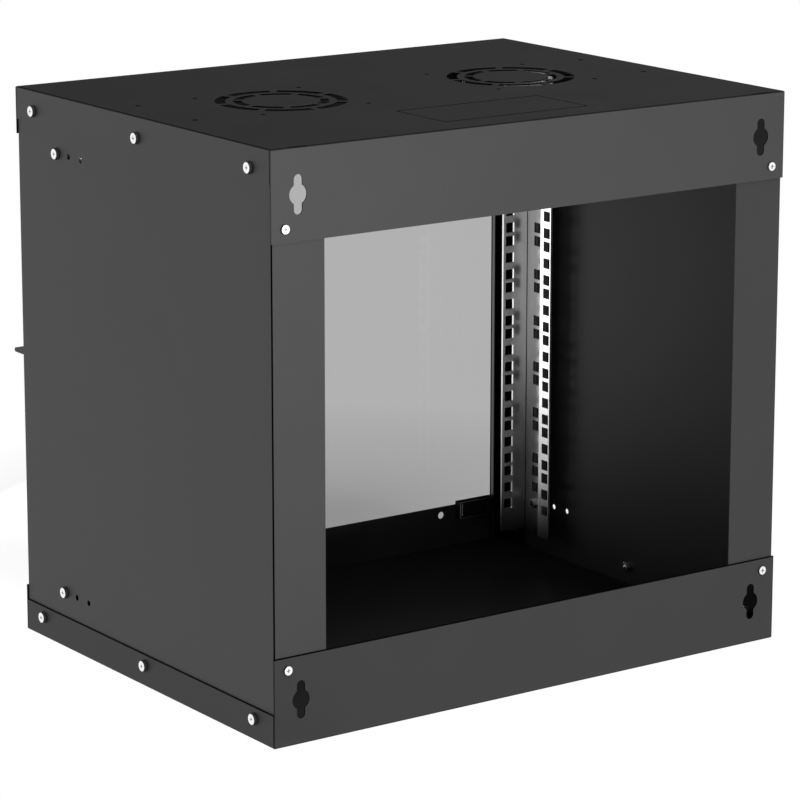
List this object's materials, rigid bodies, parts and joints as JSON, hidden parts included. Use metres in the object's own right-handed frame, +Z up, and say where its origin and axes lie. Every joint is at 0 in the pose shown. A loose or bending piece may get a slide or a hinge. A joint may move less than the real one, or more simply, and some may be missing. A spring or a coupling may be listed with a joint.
{
  "type": "wall mount network cabinet",
  "caption": "Shallow black sheet-steel rack cabinet for a wall, open at the back, with folded rack rails, vented roof and a frameless glass door with a cam lock.",
  "frame": {"origin": "middle of the underside of the base panel", "axes": "+X to the right seen from the glass door, +Y from the door to the wall, +Z up"},
  "size_m": [0.53, 0.437, 0.487],
  "materials": {
    "cabinet_paint": "fine-textured black powder coat",
    "rail_zinc": "zinc-plated folded sheet",
    "screw_zinc": "bright zinc plate",
    "hinge_black": "black paint",
    "pin_steel": "ground steel",
    "washer_nylon": "natural nylon",
    "door_glass": "smoked tempered glass",
    "rubber": "black rubber",
    "lock_black": "black die-cast zinc",
    "lock_chrome": "chrome plate",
    "cam_zinc": "zinc-plated steel"
  },
  "bodies": {
    "cabinet": {"base_panel": "cabinet_paint", "roof_panel": "cabinet_paint", "side_panel_right": "cabinet_paint", "side_panel_left": "cabinet_paint", "rack_rail_right": "rail_zinc", "rack_rail_left": "rail_zinc", "side_screws_right": "screw_zinc", "side_screws_left": "screw_zinc", "side_nuts_right": "screw_zinc", "side_nuts_left": "screw_zinc", "rear_screws": "screw_zinc", "rear_nuts": "screw_zinc", "rail_bolts": "screw_zinc", "rail_spacers": "screw_zinc", "rail_nuts": "screw_zinc", "hinge_block_lower": "hinge_black", "hinge_block_upper": "hinge_black", "hinge_plate_lower": "hinge_black", "hinge_plate_upper": "hinge_black", "hinge_pin_lower": "pin_steel", "hinge_pin_upper": "pin_steel", "hinge_washers": "washer_nylon", "hinge_screws": "hinge_black", "door_bumpers": "rubber"},
    "door": {"door_glass": "door_glass", "hinge_clamp_lower": "hinge_black", "hinge_clamp_upper": "hinge_black", "clamp_pads": "rubber", "clamp_screws": "hinge_black", "lock_housing": "lock_black", "door_pull": "lock_black", "lock_nut": "lock_black"},
    "lock": {"lock_barrel": "lock_chrome", "lock_cam": "cam_zinc", "cam_screw": "hinge_black"}
  },
  "joints": [
    {"name": "door_hinge", "type": "hinge", "parent": "cabinet", "child": "door", "pos_m": [-0.252, -0.206, 0.2435], "axis": [0, 0, -1], "range_deg": [0, 180]},
    {"name": "lock_turn", "type": "hinge", "parent": "door", "child": "lock", "pos_m": [0.2375, -0.2, 0.2225], "axis": [0, -1, 0], "range_deg": [0, 90]}
  ]
}
